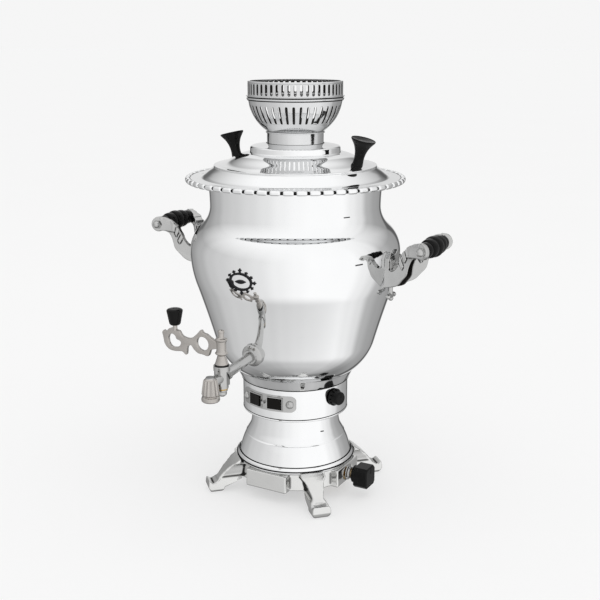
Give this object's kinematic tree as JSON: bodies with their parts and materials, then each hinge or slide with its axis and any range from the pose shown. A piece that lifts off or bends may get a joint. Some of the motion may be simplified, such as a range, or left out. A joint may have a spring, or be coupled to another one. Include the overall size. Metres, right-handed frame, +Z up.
{
  "type": "samovar",
  "caption": "Polished samovar with a central flue, lever tap, side handles, lift-off lid, pierced teapot crown, gas burner and electric heater on a footed base.",
  "frame": {"origin": "on the urn's axis, at the floor under the four toes", "axes": "+Z up along the urn's axis, -Y toward the tap, +X toward the gas knob; the handles are on +X and -X"},
  "size_m": [0.3468, 0.3018, 0.4592],
  "materials": {
    "polished_steel": "mirror polished",
    "plated_casting": "polished plating",
    "inner_steel": "satin",
    "nickel": "warm nickel plating",
    "brass": "machined",
    "black_grip": "glossy",
    "black_plastic": "matte",
    "rocker_plastic": "glossy, dark",
    "rubber": "matte",
    "enamel": "glossy enamel",
    "burner_iron": "raw"
  },
  "bodies": {
    "samovar": {"foot_casting": "plated_casting", "base_ring": "polished_steel", "skirt": "polished_steel", "control_band": "polished_steel", "heat_duct": "inner_steel", "urn_shell": "polished_steel", "tank_floor": "inner_steel", "flue_tube": "inner_steel", "gallery_dish": "polished_steel", "gallery_beading": "polished_steel", "medallion": "enamel", "handle_brackets": "plated_casting", "handle_grips": "black_grip", "handle_rods": "inner_steel", "handle_nuts": "polished_steel", "handle_finials": "plated_casting", "bracket_screws": "inner_steel", "tap_body": "polished_steel", "tap_flange": "polished_steel", "tap_lock_nut": "brass", "tap_washer": "rubber", "tap_nozzle": "nickel", "tap_seal": "rubber", "switch_panel": "polished_steel", "panel_screws": "polished_steel", "switch_frames": "black_plastic", "switch_terminals": "brass", "thermostat_body": "black_plastic", "thermostat_bulb": "brass", "heating_element": "inner_steel", "heater_nuts": "brass", "power_inlet": "black_plastic", "gas_valve": "brass", "valve_bezel": "polished_steel", "gas_inlet": "brass", "gas_lock_nut": "brass", "gas_pipe": "brass", "burner": "burner_iron", "burner_bracket": "inner_steel", "burner_bolts": "inner_steel"},
    "lid": {"lid_shell": "polished_steel", "lid_knobs": "black_grip", "lid_knob_screws": "inner_steel"},
    "crown": {"crown_bowl": "polished_steel", "crown_beading": "polished_steel", "crown_band": "polished_steel"},
    "tap_key": {"tap_plug": "polished_steel", "tap_lever": "polished_steel", "tap_lever_knob": "black_grip", "tap_retainer": "polished_steel", "tap_retainer_washer": "brass"},
    "thermostat_dial": {"thermostat_knob": "black_plastic"},
    "power_key": {"power_rocker": "rocker_plastic"},
    "heat_key": {"heat_rocker": "rocker_plastic"},
    "gas_stem": {"valve_stem": "inner_steel"},
    "gas_dial": {"gas_knob": "black_plastic"}
  },
  "joints": [
    {"name": "lid_lift", "type": "slide", "parent": "samovar", "child": "lid", "axis": [0, 0, 1], "range_m": [0, 0.06]},
    {"name": "crown_lift", "type": "slide", "parent": "lid", "child": "crown", "axis": [0, 0, 1], "range_m": [0, 0.06]},
    {"name": "tap_turn", "type": "hinge", "parent": "samovar", "child": "tap_key", "pos_m": [0, -0.152, 0.173], "axis": [0, 0, 1], "range_deg": [0, 90]},
    {"name": "thermostat_turn", "type": "hinge", "parent": "samovar", "child": "thermostat_dial", "pos_m": [0.05748, -0.01648, 0.1186], "axis": [0.9613, -0.2756, 0], "range_deg": [-270, 0]},
    {"name": "power_rock", "type": "hinge", "parent": "samovar", "child": "power_key", "pos_m": [-0.01716, -0.05613, 0.1156], "axis": [0, 0, 1], "range_deg": [0, 10]},
    {"name": "heat_rock", "type": "hinge", "parent": "samovar", "child": "heat_key", "pos_m": [0.00715, -0.05826, 0.1156], "axis": [0, 0, 1], "range_deg": [0, 10]},
    {"name": "gas_push", "type": "slide", "parent": "samovar", "child": "gas_stem", "axis": [-1, 0, 0], "range_m": [0, 0.003], "stiffness_N_per_m": 1200},
    {"name": "gas_turn", "type": "hinge", "parent": "gas_stem", "child": "gas_dial", "pos_m": [0.0767, 0, 0.024], "axis": [1, 0, 0], "range_deg": [0, 90]}
  ]
}
